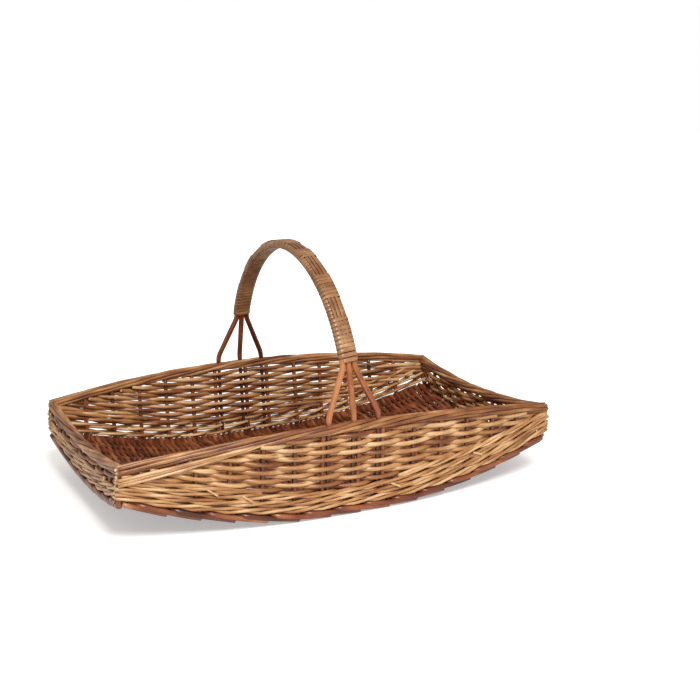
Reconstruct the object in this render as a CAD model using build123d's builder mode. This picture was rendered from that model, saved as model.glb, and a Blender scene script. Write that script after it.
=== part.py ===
from build123d import *
import os
from math import acos, ceil, cos, pi, radians, sin

# A boat shaped willow trug with a lapped bow handle. Sizes are in millimetres, +Z is up and X runs
# along the basket. The origin is on the ground, under the middle of the basket.

# The middle line of the wall, at the rim and at the foot
rim_length = 560.0
rim_corner_width = 327.0
rim_corner_height = 97.3
rim_rise = 19.4
rim_bulge = 22.0
end_rim_dip = 13.4
foot_length = 564.0
foot_corner_width = 306.0
foot_bulge = 22.9
foot_end_hollow = 3.7
foot_corner_lift = 44.2
foot_end_dip = 16.2
foot_flat_length = 100.0
foot_curve_share = 1.68

# Gaps between willow pieces that lie on each other, and beside each other
lay_gap = 0.4
side_gap = 0.3
cut_overrun = 5.0

# Stakes, and the posts at the four corners
stake_diameter = 6.4
side_stake_pitch = 39.4
side_stake_count = 13
end_stake_pitch = 38.5
end_stake_count = 7
post_diameter = 12.0

# The foot border: each rod leaves a gap beside its stake and sinks below the next rod
foot_rod_width = 6.6
foot_rod_start = 10.0
foot_rod_sink_start = 26.0
foot_rod_sink_end = 47.0
foot_rod_run = 64.0
foot_rod_out = 2.5

# The upsett wale: a band of four rods outside the stakes and four inside them
wale_height = 20.0
wale_corner_height = 15.5
wale_thickness = 13.6
wale_rods = 4
wale_groove = 1.4
stake_space = 7.8

# The woven wall: weavers in rows, each in front of one upright and behind the next. On the half
# towards +X the rows of the long walls turn level between two distances from the middle.
weaver_pitch = 5.3
weaver_thickness = 3.0
weaver_swing = 5.7
weaver_least_bay = 4.0
level_start = 30.0
level_end = 140.0
end_rows = 2

# The rim border: four rods that turn about each other like a slow rope
border_rod_width = 5.0
border_turn_radius = 4.0
border_swell = 2.0
border_swell_reach = 9.0
border_start_angle = 45.0

# The base: lengthwise sticks between the upper and the lower leaf of a close weave, which swell over
# and under each stick and meet between two
base_middle = 7.2
base_leaf_thickness = 2.2
base_crest_thickness = 2.4
base_stick_seat = 1.0
base_side_inset = 3.8
base_end_inset = 7.6
base_stick_width = 6.0
base_stick_pitch = 46.0
base_stick_count = 7

# The bow handle: three rods side by side, with one leg each way from each end of the lapping
bow_rod_diameter = 7.2
bow_rod_gap = 0.1
bow_offset = -4.0
bow_leg_pitch = 32.5
bow_leg_tip_height = 18.0
bow_arch_radius = 186.0
bow_arch_half_angle = 62.0
bow_crown_height = 303.5
bow_shoulder_run = 13.0
bow_shoulder_radius = 36.0
bow_spread_drop = 14.0
bow_spread_radius = 18.0
bow_rim_clearance = 7.0
bow_rim_radius = 28.0

# The lapping: flat cane wound round the three rods, over and under the leaders
lapping_turns = 23
lapping_thickness = 1.1
lapping_gap = 1.0
lapping_end_drop = 7.0
lapping_round = 4.8
lapping_top_overhang = 0.7
first_band_turns = 5
window_turns = 3
band_turns = 3

# The leaders: three flat strips along the top of the handle
leader_width = 3.6
leader_thickness = 1.0
leader_slot = 1.2
leader_tail = 4.0

# Heights that follow from the sizes above
foot_border_height = 2 * foot_rod_width + lay_gap
wale_foot = foot_border_height + lay_gap
border_width = 2 * border_turn_radius + border_rod_width
bow_rod_pitch = bow_rod_diameter + bow_rod_gap
leader_seat = lapping_round + lapping_thickness / 2 + side_gap
lapping_raised = leader_seat + leader_thickness + side_gap + lapping_thickness / 2

# Stations that the ruled lofts pass through, and the sides of the rods
side_bays = 13
end_bays = 5
base_bays = 7
border_bay = side_stake_pitch / 2
rod_sides = 6
border_rod_sides = 5
bow_rod_sides = 8
post_sides = 10
chord_sag = 0.15
search_step = 1.0
fit_tolerance = 0.02

side_names = ("front", "right", "back", "left")
long_sides = ("front", "back")


def half_run(side):
    """Half the length of a side, from its middle to the corner post."""
    return foot_length / 2 if side in long_sides else foot_corner_width / 2


def foot_point(side, u):
    """The foot of the wall's middle line. u runs from -1 to 1, anticlockwise seen from above."""
    crown = 1 - u**2
    if side in long_sides:
        flat = foot_flat_length / foot_length
        run = max(0, abs(u) - flat) / (1 - flat)
        lift = foot_corner_lift * run**foot_curve_share
        point = Vector(u * foot_length / 2, -foot_corner_width / 2 - foot_bulge * crown, lift)
    else:
        lift = foot_corner_lift - foot_end_dip * crown
        point = Vector(foot_length / 2 - foot_end_hollow * crown, u * foot_corner_width / 2, lift)
    return point.rotate(Axis.Z, 180) if side in ("back", "left") else point


def rim_point(side, u):
    """The top of the rim border's middle line."""
    crown = 1 - u**2
    if side in long_sides:
        height = rim_corner_height + rim_rise * crown
        point = Vector(u * rim_length / 2, -rim_corner_width / 2 - rim_bulge * crown, height)
    else:
        height = rim_corner_height - end_rim_dip * crown
        point = Vector(rim_length / 2, u * rim_corner_width / 2, height)
    return point.rotate(Axis.Z, 180) if side in ("back", "left") else point


def wall_height(side, u):
    """Length of the wall's slanting line from foot to rim."""
    return (rim_point(side, u) - foot_point(side, u)).length


def wall_plane(side, u):
    """Plane across the wall at u: its x is outwards and its y is up along the wall."""
    foot = foot_point(side, u)
    up = (rim_point(side, u) - foot).normalized()
    along = foot_slope(side, u)[0]
    out = Vector(along.X, along.Y, 0).cross(up).normalized()
    return Plane(origin=foot, x_dir=out, z_dir=out.cross(up))


def foot_slope(side, u):
    """Direction of the foot line at u, and how much a height grows along the wall for its slope."""
    step_share = 0.001
    run = (foot_point(side, u + step_share) - foot_point(side, u - step_share)).normalized()
    return run, 1 / Vector(run.X, run.Y, 0).length


def wale_low(side, u):
    """Height along the wall of the wale's underside, just above the foot border."""
    return wale_foot * foot_slope(side, u)[1]


def wale_high(side, u):
    """Height along the wall of the wale's top. The band thins towards the corners."""
    band = wale_height - (wale_height - wale_corner_height) * u**2
    return (wale_foot + band) * foot_slope(side, u)[1]


def wall_stations(side, end_gap, bays):
    """Places of the loft's sections, from one corner post to the other."""
    u_end = 1 - end_gap / half_run(side)
    return [u_end * (2 * bay / bays - 1) for bay in range(bays + 1)]


def bays_of(side):
    """How many straight bays a wall of this side is lofted in."""
    return side_bays if side in long_sides else end_bays


def leg_places():
    """Where the three bow rods enter each long side, along X."""
    return [bow_offset + k * bow_leg_pitch for k in (-1, 0, 1)]


def stake_places(side):
    """Distances of the stakes from the middle of a side. The bow's legs push three of them aside."""
    pitch, count = end_stake_pitch, end_stake_count
    if side in long_sides:
        pitch, count = side_stake_pitch, side_stake_count
    places = [(k - (count - 1) / 2) * pitch for k in range(count)]
    if side in long_sides:
        beside = (stake_diameter + bow_rod_diameter) / 2 + side_gap
        left, middle, right = leg_places()
        centre = count // 2
        places[centre - 1 : centre + 2] = [left - beside, middle + beside, right + beside]
    return [-place for place in places] if side == "back" else places


def polygon_loft(planes, radius, sides=rod_sides, rotation=180 / rod_sides):
    """A rod with flat sides through the given planes."""
    with BuildPart() as rod:
        for plane in planes:
            with BuildSketch(plane):
                RegularPolygon(radius, sides, rotation=rotation)
        loft(ruled=True)
    return rod.part


def path_planes(wire):
    """Planes across a path, at the ends of its straight runs and at even steps round its arcs."""
    places, run = [], 0
    for edge in wire.order_edges():
        steps = 1
        if edge.geom_type == GeomType.CIRCLE:
            step_angle = 2 * acos(1 - chord_sag / edge.radius)
            steps = ceil(edge.length / edge.radius / step_angle)
        places += [run + edge.length * step / steps for step in range(steps)]
        run += edge.length
    planes = []
    for place in places + [run]:
        heading = wire.tangent_at(place, position_mode=PositionMode.LENGTH)
        across = Vector(1, 0, 0) - heading * heading.X
        centre = wire.position_at(place, position_mode=PositionMode.LENGTH)
        planes.append(Plane(origin=centre, x_dir=across, z_dir=heading))
    return planes


def make_stakes(side):
    """The upright stakes of one side, from the foot border to the rim border."""
    with BuildPart() as stakes:
        for place in stake_places(side):
            u = place / half_run(side)
            plane = wall_plane(side, u)
            low = wale_low(side, u)
            with BuildSketch(Plane(origin=plane.from_local_coords((0, low, 0)), z_dir=plane.y_dir)):
                RegularPolygon(stake_diameter / 2, rod_sides)
            extrude(amount=wall_height(side, u) - border_width - lay_gap - low)
    return stakes


def make_corner_post(side):
    """The stout post at the end of a side, from the foot to the top of the rim."""
    plane = wall_plane(side, 1)
    with BuildPart() as post:
        with BuildSketch(Plane(origin=plane.origin, z_dir=plane.y_dir)):
            RegularPolygon(post_diameter / 2, post_sides)
        extrude(amount=wall_height(side, 1))
    return post


def foot_rod_knots(place, reach):
    """Knots (along, out, height) of one foot rod, cut off at the corner posts."""
    low = foot_rod_width / 2
    high = low + foot_rod_width + lay_gap
    knots = [
        (place + foot_rod_start, 0, high),
        (place + foot_rod_sink_start, foot_rod_out, high),
        (place + foot_rod_sink_end, foot_rod_out, low),
        (place + foot_rod_run, foot_rod_out, low),
    ]
    kept = []
    for start, end in zip(knots, knots[1:]):
        ends = []
        for limit in (max(start[0], -reach), min(end[0], reach)):
            share = (limit - start[0]) / (end[0] - start[0])
            ends.append(tuple(a + (b - a) * share for a, b in zip(start, end)))
        if ends[0][0] < ends[1][0]:
            kept += ends if not kept else ends[1:]
    return kept


def make_foot_border(side):
    """The border that the basket stands on, one bent rod for each stake and two at the start."""
    half = half_run(side)
    pitch, count = end_stake_pitch, end_stake_count
    if side in long_sides:
        pitch, count = side_stake_pitch, side_stake_count
    reach = half - post_diameter / 2 - lay_gap
    rods = []
    for k in range(-2, count):
        points = []
        for along, out, height in foot_rod_knots((k - (count - 1) / 2) * pitch, reach):
            run = foot_slope(side, along / half)[0]
            level = Vector(run.Y, -run.X, 0).normalized()
            points.append(foot_point(side, along / half) + level * out + level.cross(run) * height)
        planes = []
        last = len(points) - 1
        for i, point in enumerate(points):
            before, after = (last - 1, last) if i >= last - 1 else (max(i - 1, 0), i + 1)
            run = (points[after] - points[before]).normalized()
            planes.append(Plane(origin=point, x_dir=Vector(0, 0, 1) - run * run.Z, z_dir=run))
        rods.append(polygon_loft(planes, foot_rod_width / 2 / cos(pi / rod_sides)))
    with BuildPart() as border:
        add(rods)
    return border


def make_upsett_wale(side):
    """The wale band: an outer leaf and an inner leaf, each ridged by its four rods."""
    stations = wall_stations(side, wale_thickness / 2 + lay_gap, bays_of(side))
    with BuildPart() as wale:
        for face in (1, -1):
            for u in stations:
                foot, top = wale_low(side, u), wale_high(side, u)
                rod = (top - foot) / wale_rods
                crest, groove = wale_thickness / 2, wale_thickness / 2 - wale_groove
                outline = [(stake_space / 2, foot)]
                for k in range(wale_rods):
                    outline += [(groove, foot + k * rod), (crest, foot + (k + 1 / 2) * rod)]
                outline += [(groove, top), (stake_space / 2, top)]
                with BuildSketch(wall_plane(side, u)):
                    with BuildLine():
                        Polyline([(face * out, height) for out, height in outline], close=True)
                    make_face()
            loft(ruled=True)
    return wale


def upright_knots(side):
    """Places of the uprights that the weavers pass, each with its number counted from the middle.

    A bow leg has the number of the stake beside it, and the corner posts are the first and the last.
    """
    stakes = sorted(stake_places(side))
    half_count = len(stakes) // 2
    knots = [(place, k - half_count) for k, place in enumerate(stakes)]
    if side in long_sides:
        way = -1 if side == "back" else 1
        legs = sorted(way * place for place in leg_places())
        knots += [(place, k - 1) for k, place in enumerate(legs)]
    reach = half_run(side)
    return sorted(knots + [(-reach, -half_count - 1), (reach, half_count + 1)])


def row_floor(side, along):
    """Height that the rows of weavers are counted from.

    It is the wale's top, and beyond the start of the level half it passes over to a level line.
    """
    u = along / half_run(side)
    low = wale_high(side, u)
    if side not in long_sides:
        return low
    world = -along if side == "back" else along
    share = max(0, min(1, (world - level_start) / (level_end - level_start)))
    level = wale_high(side, 0) - foot_point(side, u).Z
    return low + (level - low) * share**2 * (3 - 2 * share)


def row_band(side, along, row):
    """Underside and top of a row, and whether it fits between the wale and the rim border there."""
    u = along / half_run(side)
    low, high = wale_high(side, u) + lay_gap, wall_height(side, u) - border_width - lay_gap
    pitch = weaver_pitch if side in long_sides else (high + lay_gap - low) / end_rows
    bottom = row_floor(side, along) + lay_gap + row * pitch
    top = bottom + pitch - lay_gap
    return bottom, top, bottom > low - fit_tolerance and top < high + fit_tolerance


def weaver_out(knots, along, row):
    """How far a weaver of this row swings out of the wall's middle, straight between its uprights."""
    for (start, before), (end, after) in zip(knots, knots[1:]):
        if along <= end:
            share = (along - start) / (end - start)
            outs = [weaver_swing * cos(pi * (number + row)) for number in (before, after)]
            return outs[0] + (outs[1] - outs[0]) * share


def make_weave(side):
    """The randed wall between the wale and the rim border, one rod for each row."""
    knots = upright_knots(side)
    reach = half_run(side) - post_diameter / 2 - 2 * side_gap
    steps = round(2 * reach / search_step)
    scan = [reach * (2 * step / steps - 1) for step in range(steps + 1)]
    rows = end_rows
    if side in long_sides:
        rows = ceil((wall_height(side, 0) - border_width - wale_high(side, 0)) / weaver_pitch)
    weavers = []
    for row in range(rows):
        fitting = [along for along in scan if row_band(side, along, row)[2]]
        stations = [place for place, number in knots if fitting and fitting[0] < place < fitting[-1]]
        if not stations:
            continue
        if stations[0] - fitting[0] > weaver_least_bay:
            stations.insert(0, fitting[0])
        if fitting[-1] - stations[-1] > weaver_least_bay:
            stations.append(fitting[-1])
        with BuildPart() as weaver:
            for along in stations:
                bottom, top = row_band(side, along, row)[:2]
                with BuildSketch(wall_plane(side, along / half_run(side))):
                    with Locations((weaver_out(knots, along, row), (bottom + top) / 2)):
                        Rectangle(weaver_thickness, top - bottom)
            loft(ruled=True)
        weavers.append(weaver.part)
    with BuildPart() as weave:
        add(weavers)
    return weave


def swell_at(side, along):
    """How far the rim border's rods spread to let a bow leg through."""
    if side not in long_sides:
        return 0
    places = [-place if side == "back" else place for place in leg_places()]
    nearest = min(abs(along - place) for place in places)
    return border_swell * max(0, 1 - nearest / (2 * border_swell_reach))


def make_rim_border(side):
    """The rolled rim border, four rods laid round each other, notched for the bow's legs."""
    half = half_run(side)
    end_gap = border_width / 2 + lay_gap
    bays = round(2 * (half - end_gap) / border_bay)
    stations = wall_stations(side, end_gap, bays)
    start = {"front": bow_offset, "back": -bow_offset}.get(side, 0)
    rods = []
    for k in range(4):
        planes = []
        for u in stations:
            plane = wall_plane(side, u)
            quarters = k + (u * half - start) / side_stake_pitch
            angle = radians(border_start_angle + 90 * quarters)
            turn = border_turn_radius + swell_at(side, u * half)
            height = wall_height(side, u) - border_width / 2 + border_turn_radius * sin(angle)
            centre = plane.from_local_coords((turn * cos(angle), height, 0))
            planes.append(Plane(origin=centre, x_dir=plane.y_dir, z_dir=plane.z_dir))
        rods.append(polygon_loft(planes, border_rod_width / 2, border_rod_sides))
    with BuildPart() as border:
        add(rods)
        if side in long_sides:
            for place in leg_places():
                u = (-place if side == "back" else place) / (rim_length / 2)
                plane = wall_plane(side, u)
                low = wall_height(side, u) - border_width - cut_overrun
                with BuildSketch(Plane(origin=plane.from_local_coords((0, low, 0)), z_dir=plane.y_dir)):
                    RegularPolygon((bow_rod_diameter / 2 + side_gap) / cos(pi / bow_rod_sides), bow_rod_sides)
            extrude(amount=border_width + 2 * cut_overrun, mode=Mode.SUBTRACT)
    return border


def base_level(x, y):
    """Height of the foot's surface under the base, which dips between the corners at each end."""
    u = x / (foot_length / 2)
    edge = abs(foot_point("front", u).Y)
    return foot_point("front", u).Z - foot_end_dip * u**2 * (1 - (y / edge) ** 2)


def base_stations():
    """Places of the base's sections along X."""
    reach = foot_length / 2 - base_end_inset
    return [reach * (2 * bay / base_bays - 1) for bay in range(base_bays + 1)]


def base_stick_places():
    """Distances of the base sticks from the middle of the base."""
    return [(k - (base_stick_count - 1) / 2) * base_stick_pitch for k in range(base_stick_count)]


def make_base_sticks():
    """The sticks that run the length of the base and follow its curve."""
    rods = []
    for y in base_stick_places():
        planes = [
            Plane(origin=(x, y, base_level(x, y) + base_middle), x_dir=(0, 0, 1), z_dir=(1, 0, 0))
            for x in base_stations()
        ]
        rods.append(polygon_loft(planes, base_stick_width / 2 / cos(pi / rod_sides)))
    with BuildPart() as sticks:
        add(rods)
    return sticks


def base_leaf_profile(x, face):
    """Outline of the base's upper leaf, face 1, or its lower leaf, face -1, across the base at x."""
    edge = abs(foot_point("front", x / (foot_length / 2)).Y) - base_side_inset
    places = base_stick_places()
    swelling = [(-edge, 0)]
    for place, after in zip(places, places[1:] + [None]):
        swelling.append((place, 1))
        if after is not None:
            swelling.append(((place + after) / 2, 0))
    swelling.append((edge, 0))
    inner, outer = [], []
    for y, swell in swelling:
        middle = base_level(x, y) + base_middle
        near = lay_gap / 2 + swell * (base_stick_width / 2 + base_stick_seat - lay_gap / 2)
        far = near + base_leaf_thickness + swell * (base_crest_thickness - base_leaf_thickness)
        inner.append((y, middle + face * near))
        outer.append((y, middle + face * far))
    return inner + outer[::-1]


def make_base_weave():
    """The close woven base, one leaf above the sticks and one below them."""
    with BuildPart() as weave:
        for face in (1, -1):
            for x in base_stations():
                with BuildSketch(Plane(origin=(x, 0, 0), x_dir=(0, 1, 0), z_dir=(1, 0, 0))):
                    with BuildLine():
                        Polyline(base_leaf_profile(x, face), close=True)
                    make_face()
            loft(ruled=True)
    return weave


def arch_point(x, way, turn, lift=0):
    """A point of the bow's arch, turn degrees from its crown, raised outwards by lift."""
    radius = bow_arch_radius + lift
    centre = bow_crown_height - bow_arch_radius
    return Vector(x, way * radius * sin(radians(turn)), centre + radius * cos(radians(turn)))


def leg_top(side, place):
    """Where a leg leaves the rim border."""
    u = (-place if side == "back" else place) / (rim_length / 2)
    plane = wall_plane(side, u)
    return plane.from_local_coords((0, wall_height(side, u) + bow_rim_clearance, 0))


def leg_tip(side, place):
    """Where a leg ends, down between the wale's leaves."""
    u = (-place if side == "back" else place) / (rim_length / 2)
    return wall_plane(side, u).from_local_coords((0, bow_leg_tip_height, 0))


def bow_corners(side, k):
    """Corners of a bow rod's path from the leg's tip to the end of the arch."""
    way = -1 if side == "front" else 1
    turn = radians(bow_arch_half_angle)
    x = bow_offset + k * bow_rod_pitch
    arch_end = arch_point(x, way, bow_arch_half_angle)
    shoulder = arch_end + Vector(0, way * cos(turn), -sin(turn)) * bow_shoulder_run
    place = leg_places()[k + 1]
    middle_top = leg_top(side, bow_offset)
    down = (Vector(x, middle_top.Y, middle_top.Z) - shoulder).normalized()
    corners = [leg_tip(side, place), leg_top(side, place), shoulder, arch_end]
    if k:
        corners.insert(2, shoulder + down * bow_spread_drop)
    return corners


def make_bow_rod(k):
    """One rod of the bow, from inside the front wall over the arch and into the back wall."""
    radii = [bow_rim_radius, bow_shoulder_radius]
    if k:
        radii.insert(1, bow_spread_radius)
    front, back = bow_corners("front", k), bow_corners("back", k)
    with BuildLine() as path:
        FilletPolyline(*front, radius=radii)
        ThreePointArc(front[-1], arch_point(front[-1].X, 0, 0), back[-1])
        FilletPolyline(*reversed(back), radius=list(reversed(radii)))
    with BuildPart() as rod:
        add(polygon_loft(path_planes(path.wires()[0]), bow_rod_diameter / 2, bow_rod_sides, 0))
    return rod


def lapping_axis(side):
    """Middle line of the lapping, from its end above the legs to the crown of the arch."""
    way = -1 if side == "front" else 1
    shoulder, arch_end = bow_corners(side, 0)[2:]
    down = (leg_top(side, bow_offset) - shoulder).normalized()
    start = shoulder + down * lapping_end_drop
    with BuildLine() as axis:
        FilletPolyline(start, shoulder, arch_end, radius=bow_shoulder_radius)
        halfway = arch_point(bow_offset, way, bow_arch_half_angle / 2)
        ThreePointArc(arch_end, halfway, arch_point(bow_offset, way, 0))
    return axis.wires()[0]


def lapping_is_over(turn):
    """Whether a turn passes over the leaders, or under them where they show."""
    after = turn - first_band_turns
    return after < 0 or after % (window_turns + band_turns) >= window_turns


def lapping_loop(over):
    """One turn of the lapping as (across, outwards) places round the three rods."""
    flat, top = bow_rod_pitch, lapping_round
    if over:
        flat, top = bow_rod_pitch + lapping_top_overhang, lapping_raised
    round_half = []
    for turn in (45, 90, 135, 180):
        swing = radians(turn)
        round_half.append((bow_rod_pitch + lapping_round * sin(swing), lapping_round * cos(swing)))
    other_half = [(-across, outwards) for across, outwards in reversed(round_half)]
    return [(-flat, top), (flat, top)] + round_half + other_half


def make_lapping(side):
    """Flat cane wound round half of the bow, and the least gap between its turns."""
    way = -1 if side == "front" else 1
    axis = lapping_axis(side)
    pitch = axis.length / (lapping_turns + 1)
    width = pitch - lapping_gap
    leading, trailing = [], []
    with BuildPart() as lapping:
        steps = len(lapping_loop(True))
        for step in range(lapping_turns * steps + 1):
            turn, corner = divmod(step, steps)
            loop = lapping_loop(lapping_is_over(min(turn, lapping_turns - 1)))
            before, here, after = loop[corner - 1], loop[corner], loop[(corner + 1) % steps]
            travel = width / 2 + pitch * step / steps
            centre = axis.position_at(travel, position_mode=PositionMode.LENGTH)
            run = axis.tangent_at(travel, position_mode=PositionMode.LENGTH)
            rise = Vector(0, way * run.Z, -way * run.Y)
            place = centre + Vector(here[0], 0, 0) + rise * here[1]
            arriving = Vector(here[0] - before[0], here[1] - before[1]).normalized()
            leaving = Vector(after[0] - here[0], after[1] - here[1]).normalized()
            heading = arriving + leaving
            tangent = Vector(heading.X, 0, 0) + rise * heading.Y
            with BuildSketch(Plane(origin=place, x_dir=run, z_dir=tangent)):
                Rectangle(width, lapping_thickness)
            leading.append(place + run * (width / 2))
            trailing.append(place - run * (width / 2))
        loft(ruled=True)
    least = min((leading[i] - trailing[i + steps]).length for i in range(len(leading) - steps))
    print(f"lapping_{side}: {lapping_turns} turns, strip {width:.2f} wide, least gap {least:.2f} mm")
    return lapping


def make_leader(k):
    """A flat strip along the top of the handle, held down by the bands of lapping."""
    x = bow_offset + k * (leader_width + leader_slot)
    lift = leader_seat + leader_thickness / 2
    ends = [arch_point(x, way, bow_arch_half_angle, lift) for way in (-1, 1)]
    turn = radians(bow_arch_half_angle)
    tails = [
        end + Vector(0, way * cos(turn), -sin(turn)) * leader_tail for way, end in zip((-1, 1), ends)
    ]
    with BuildLine() as path:
        Line(tails[0], ends[0])
        ThreePointArc(ends[0], arch_point(x, 0, 0, lift), ends[1])
        Line(ends[1], tails[1])
    with BuildPart() as leader:
        for plane in path_planes(path.wires()[0]):
            with BuildSketch(plane):
                Rectangle(leader_width, leader_thickness)
        loft(ruled=True)
    return leader


def save(piece, name):
    """Label a finished piece and write it as its own file."""
    piece.part.label = name
    export_step(piece.part, f"parts/{name}.step")


os.makedirs("parts", exist_ok=True)

base_sticks = make_base_sticks()
save(base_sticks, "base_sticks")
base_weave = make_base_weave()
save(base_weave, "base_weave")

corner_names = ("front_right", "back_right", "back_left", "front_left")
for side, corner in zip(side_names, corner_names):
    save(make_foot_border(side), f"foot_border_{side}")
    save(make_stakes(side), f"stakes_{side}")
    save(make_upsett_wale(side), f"upsett_wale_{side}")
    save(make_weave(side), f"weave_{side}")
    save(make_rim_border(side), f"rim_border_{side}")
    save(make_corner_post(side), f"corner_post_{corner}")

for k, name in zip((-1, 0, 1), ("left", "middle", "right")):
    save(make_bow_rod(k), f"bow_rod_{name}")
    save(make_leader(k), f"leader_{name}")
for side in long_sides:
    save(make_lapping(side), f"lapping_{side}")
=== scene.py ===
"""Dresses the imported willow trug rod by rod: walls, wales, borders, base and lapped bow handle."""

import logging
import math
from dataclasses import dataclass, field
from enum import Enum
from functools import partial
from itertools import product
from typing import Sequence

import bpy
import numpy as np
from mathutils import Matrix, Vector


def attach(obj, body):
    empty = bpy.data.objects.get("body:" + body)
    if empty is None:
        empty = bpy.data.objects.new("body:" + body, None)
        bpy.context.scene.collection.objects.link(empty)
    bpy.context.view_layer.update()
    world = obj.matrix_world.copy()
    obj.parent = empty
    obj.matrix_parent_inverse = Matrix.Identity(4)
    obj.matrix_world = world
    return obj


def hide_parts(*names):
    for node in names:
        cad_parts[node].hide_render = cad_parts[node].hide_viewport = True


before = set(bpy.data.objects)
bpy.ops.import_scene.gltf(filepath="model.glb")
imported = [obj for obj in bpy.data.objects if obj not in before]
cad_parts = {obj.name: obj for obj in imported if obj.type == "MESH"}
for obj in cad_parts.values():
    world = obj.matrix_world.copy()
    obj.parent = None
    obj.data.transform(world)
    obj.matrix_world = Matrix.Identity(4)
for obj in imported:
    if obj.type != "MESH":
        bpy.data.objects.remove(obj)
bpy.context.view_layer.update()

LOG = logging.getLogger("trug")
Array = np.ndarray
Values = Array | float
Pair = tuple[float, float]
Triple = tuple[float, float, float]
Quad = tuple[float, float, float, float]
MM = 0.001
TURN = 2.0 * np.pi
SEED = 41
SLOPE_STEP = 0.001  # share of half a side over which a slope is measured
CORNER_POINTS = 9  # points along each eased corner
LENGTHWAYS = np.array([1.0, 0.0, 0.0])
CROSSWAYS = np.array([0.0, 1.0, 0.0])


class Side(Enum):
    """The four sides of the basket, anticlockwise seen from above."""

    FRONT = "front"
    RIGHT = "right"
    BACK = "back"
    LEFT = "left"

    @property
    def is_long(self) -> bool:
        """Whether this is one of the two long sides."""
        return self in (Side.FRONT, Side.BACK)

    @property
    def turn(self) -> float:
        """1 for a side as its formulas give it, -1 for the side opposite, turned half round."""
        return 1.0 if self in (Side.FRONT, Side.RIGHT) else -1.0


def smooth_step(value: Array) -> Array:
    """Eases from 0 to 1 with the formula 3 t squared minus 2 t cubed."""
    t = np.clip(value, 0.0, 1.0)
    return t * t * (3.0 - 2.0 * t)


def unit(vectors: Array) -> Array:
    """Rows of vectors, each brought to length 1."""
    return vectors / np.linalg.norm(vectors, axis=-1, keepdims=True)


def travelled(path: Array) -> Array:
    """Distance run along a path at each of its points."""
    steps = np.linalg.norm(np.diff(path, axis=0), axis=1)
    return np.concatenate([[0.0], np.cumsum(steps)])


def broadened(swing: Array, share: float) -> Array:
    """A wave with broader crests: swing times (1 + share - share times its square)."""
    return swing * (1.0 + share - share * swing**2)


def stretches(wanted: Array) -> list[slice]:
    """The slices over which a row of yes or no stays yes."""
    edges = np.flatnonzero(np.diff(np.concatenate([[0], wanted.astype(int), [0]])))
    return [slice(start, end) for start, end in zip(edges[::2], edges[1::2])]


def followed(at: Array, run: Array, rows: Array) -> Array:
    """Rows of three values, read off straight between their places in a run."""
    return np.stack([np.interp(at, run, rows[:, axis]) for axis in range(3)], axis=1)


def resampled(path: Array, step: float) -> Array:
    """The same path with even points.

    Args:
        path: Points of a path.
        step: About how far apart the new points lie.

    Returns:
        The new points, the two ends included.
    """
    run = travelled(path)
    count = max(3, int(round(run[-1] / step)) + 1)
    return followed(np.linspace(0.0, run[-1], count), run, path)


def rounded(corners: Array, radii: Sequence[float]) -> Array:
    """A run of straight lines whose corners are eased.

    Each corner becomes a quadratic curve between two points, radius times the tangent of half the
    turn before and after it.

    Args:
        corners: Points of the run, the two ends included.
        radii: One radius for each corner between the ends.

    Returns:
        Points along the eased path.
    """
    pieces = [corners[:1]]
    share = np.linspace(0.0, 1.0, CORNER_POINTS)[:, None]
    for before, corner, after, radius in zip(corners, corners[1:], corners[2:], radii):
        arriving = unit(corner - before)
        leaving = unit(after - corner)
        turn = math.acos(float(np.clip(arriving @ leaving, -1.0, 1.0)))
        reach = radius * math.tan(turn / 2.0)
        start, end = corner - arriving * reach, corner + leaving * reach
        pieces.append((1 - share) ** 2 * start + 2 * share * (1 - share) * corner + share**2 * end)
    pieces.append(corners[-1:])
    return np.concatenate(pieces)


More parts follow.
